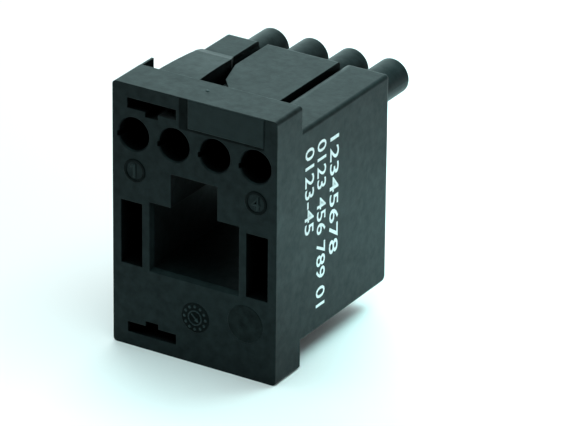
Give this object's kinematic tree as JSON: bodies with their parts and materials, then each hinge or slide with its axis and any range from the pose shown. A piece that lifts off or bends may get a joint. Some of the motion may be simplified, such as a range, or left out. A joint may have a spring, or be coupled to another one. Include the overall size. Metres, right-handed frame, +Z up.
{
  "type": "heavy duty connector insert",
  "caption": "Moulded connector insert with a stepped opening for a data plug, round contact chambers in a row and rear sleeves, held in a frame by its flange and lugs.",
  "frame": {"origin": "centre of the object's bounding box in plan, at the level of the flange's foot", "axes": "+X to the right across the mating face, +Y from the mating face to the rear sleeves, +Z up along the flange, from the foot to the contact row"},
  "size_m": [0.023, 0.0316, 0.0343],
  "materials": {
    "housing_plastic": "fine spark-eroded moulded texture",
    "contact_metal": "turned and silver plated",
    "clip_steel": "rolled spring strip"
  },
  "bodies": {
    "root": {"insert_housing": "housing_plastic", "contact_1": "contact_metal", "contact_2": "contact_metal", "contact_3": "contact_metal", "contact_4": "contact_metal", "retaining_clip_1": "clip_steel", "retaining_clip_2": "clip_steel", "retaining_clip_3": "clip_steel", "retaining_clip_4": "clip_steel"}
  },
  "joints": []
}
